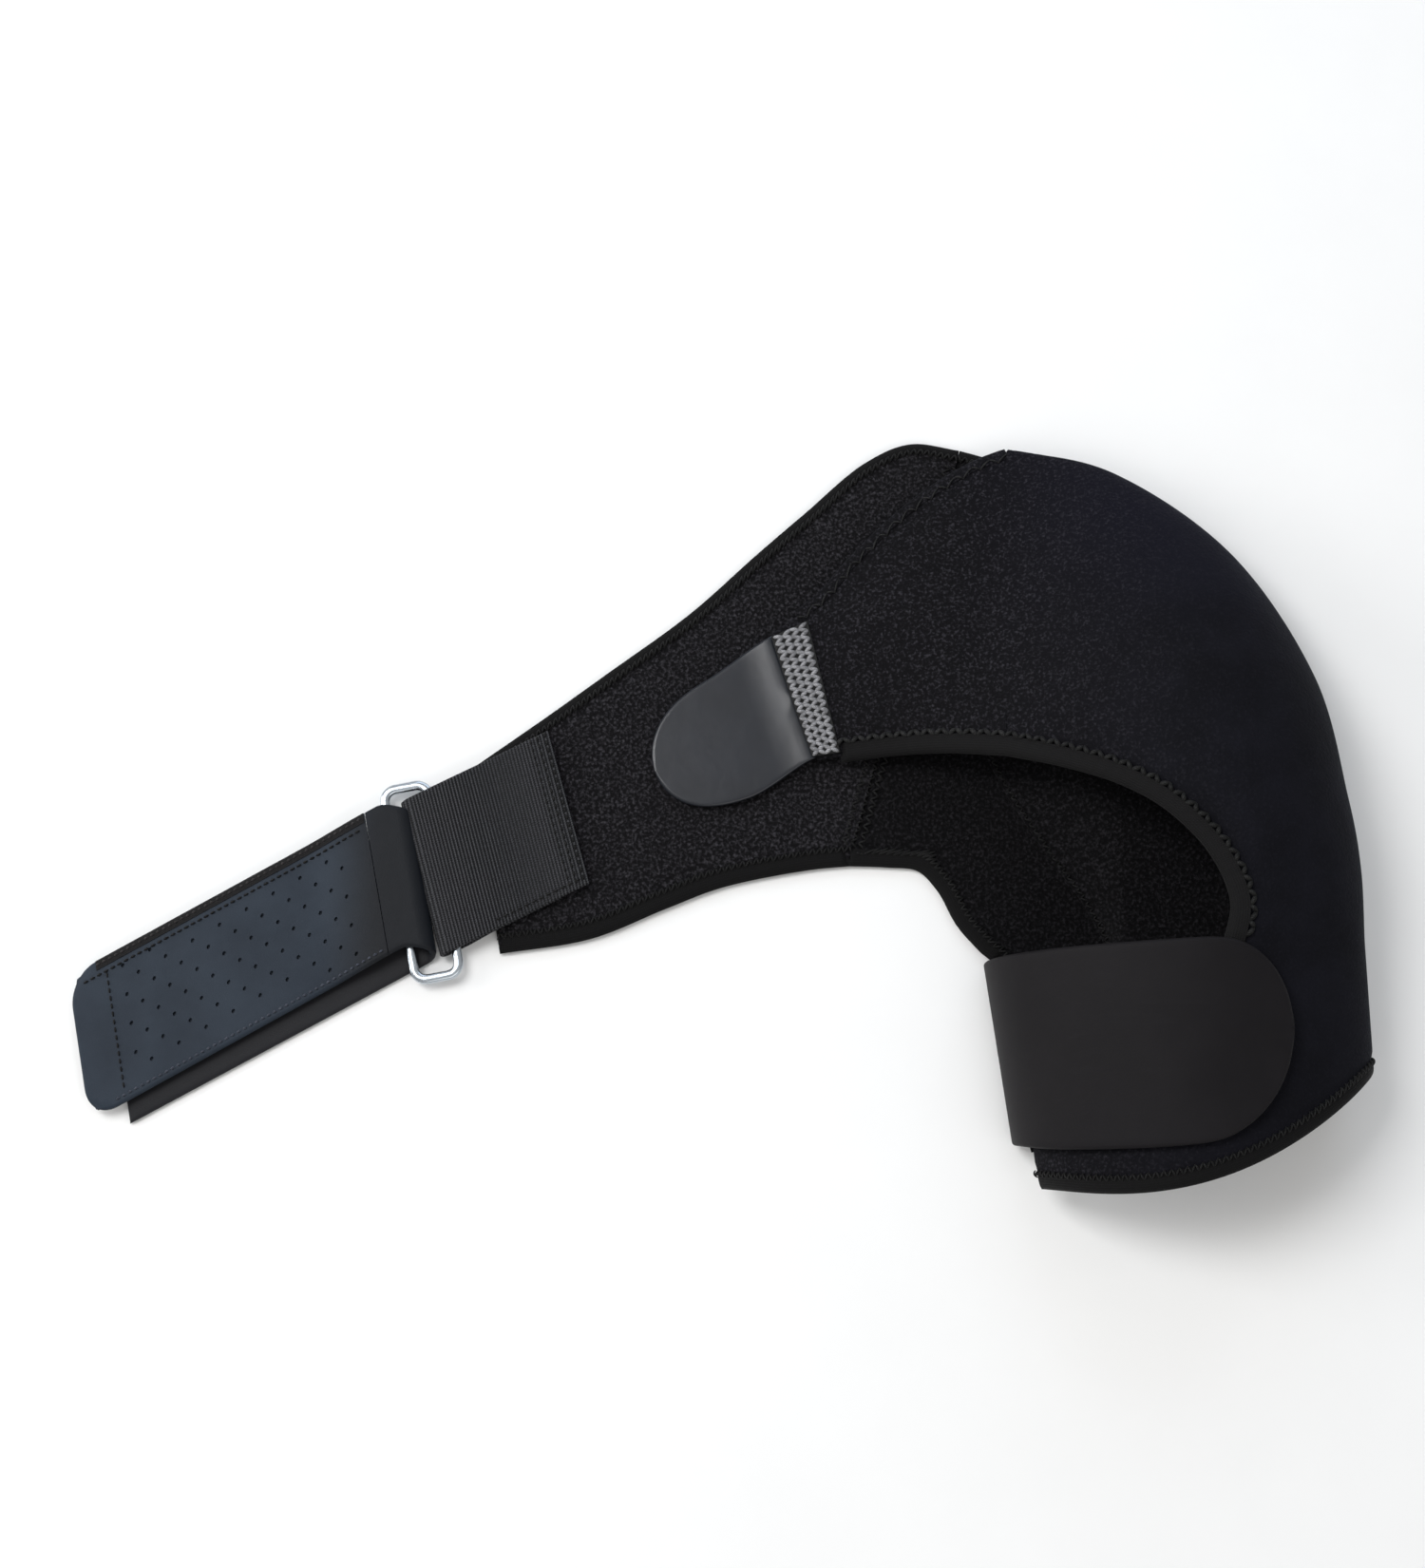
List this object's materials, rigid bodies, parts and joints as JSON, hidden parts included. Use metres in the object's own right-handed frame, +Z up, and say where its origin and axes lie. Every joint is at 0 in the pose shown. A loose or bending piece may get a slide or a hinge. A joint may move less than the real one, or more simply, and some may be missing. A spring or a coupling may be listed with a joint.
{
  "type": "cold compression shoulder wrap",
  "caption": "One-shoulder neoprene wrap with a shoulder cap, armhole, upper-arm cuff, chest strap on a wire ring and an inner cold-pack pocket.",
  "frame": {"origin": "middle of the wrap's box, on the table it lies on", "axes": "+X from the chest strap's tip to the sleeve, +Y from the sleeve's hem towards the neck edge, +Z up from the table"},
  "size_m": [0.465, 0.2844, 0.0633],
  "materials": {
    "loop_foam": "brushed loop-faced neoprene, matt",
    "smooth_foam": "knit-faced neoprene, matt with a faint sheen",
    "binding_tape": "woven edge tape, zigzag stitched",
    "seam_thread": "close zigzag stitching in grey thread",
    "tab_rubber": "smooth satin moulded tab",
    "cuff_rubber": "smooth matt moulded tab",
    "hook_tape": "hook side of hook-and-loop tape",
    "elastic_webbing": "ribbed woven elastic",
    "chrome": "bright plated wire",
    "perforated_strap": "perforated strap with black stitched borders",
    "gel_film": "clear blue film over gel",
    "pocket_cloth": "thin brushed lining"
  },
  "bodies": {
    "shell": {"wing_panel": "loop_foam", "back_panel": "loop_foam", "shoulder_cap_panel": "smooth_foam", "upper_arm_panel": "smooth_foam", "wing_top_binding": "binding_tape", "wing_bottom_binding": "binding_tape", "armpit_binding": "binding_tape", "armhole_binding": "binding_tape", "front_hem_binding": "binding_tape", "back_hem_binding": "binding_tape", "wing_seam_tape": "seam_thread", "cuff_strap_root": "cuff_rubber", "elastic_loop": "elastic_webbing", "pocket_lining": "pocket_cloth"},
    "front_flap": {"front_flap_panel": "loop_foam", "flap_lower_binding": "binding_tape", "flap_upper_binding": "binding_tape", "front_tab_strip": "seam_thread"},
    "front_tab": {"front_tab": "tab_rubber", "front_tab_hooks": "hook_tape"},
    "cuff_strap": {"cuff_strap": "cuff_rubber", "cuff_strap_hooks": "hook_tape"},
    "ring": {"ring": "chrome"},
    "chest_strap": {"chest_strap": "perforated_strap"},
    "strap_tail": {"chest_strap_tail": "perforated_strap", "chest_strap_hooks": "hook_tape"},
    "cold_pack": {"cold_pack": "gel_film"}
  },
  "joints": [
    {"name": "flap_lift", "type": "hinge", "parent": "shell", "child": "front_flap", "pos_m": [0.10725, 0.0768, 0.0215], "axis": [0.0408, 0.9791, -0.1991], "range_deg": [0, 75]},
    {"name": "tab_lift", "type": "hinge", "parent": "front_flap", "child": "front_tab", "pos_m": [0.02908, 0.04212, 0.0094], "axis": [-0.325, 0.9457, 0], "range_deg": [0, 110]},
    {"name": "cuff_open", "type": "hinge", "parent": "shell", "child": "cuff_strap", "pos_m": [0.10255, -0.09395, 0.00715], "axis": [0.1367, -0.9906, 0], "range_deg": [0, 85]},
    {"name": "ring_tilt", "type": "hinge", "parent": "shell", "child": "ring", "pos_m": [-0.0991, -0.02514, 0.0047], "axis": [-0.1908, 0.9816, 0], "range_deg": [0, 45]},
    {"name": "strap_swing", "type": "hinge", "parent": "ring", "child": "chest_strap", "pos_m": [-0.1152, -0.02827, 0.0047], "axis": [-0.1908, 0.9816, 0], "range_deg": [0, 25]},
    {"name": "strap_peel", "type": "hinge", "parent": "chest_strap", "child": "strap_tail", "pos_m": [-0.12229, -0.03228, 0.00932], "axis": [-0.1908, 0.9816, 0], "range_deg": [0, 80]},
    {"name": "pack_slide", "type": "slide", "parent": "shell", "child": "cold_pack", "axis": [0, -1, 0], "range_m": [0, 0.115]}
  ]
}
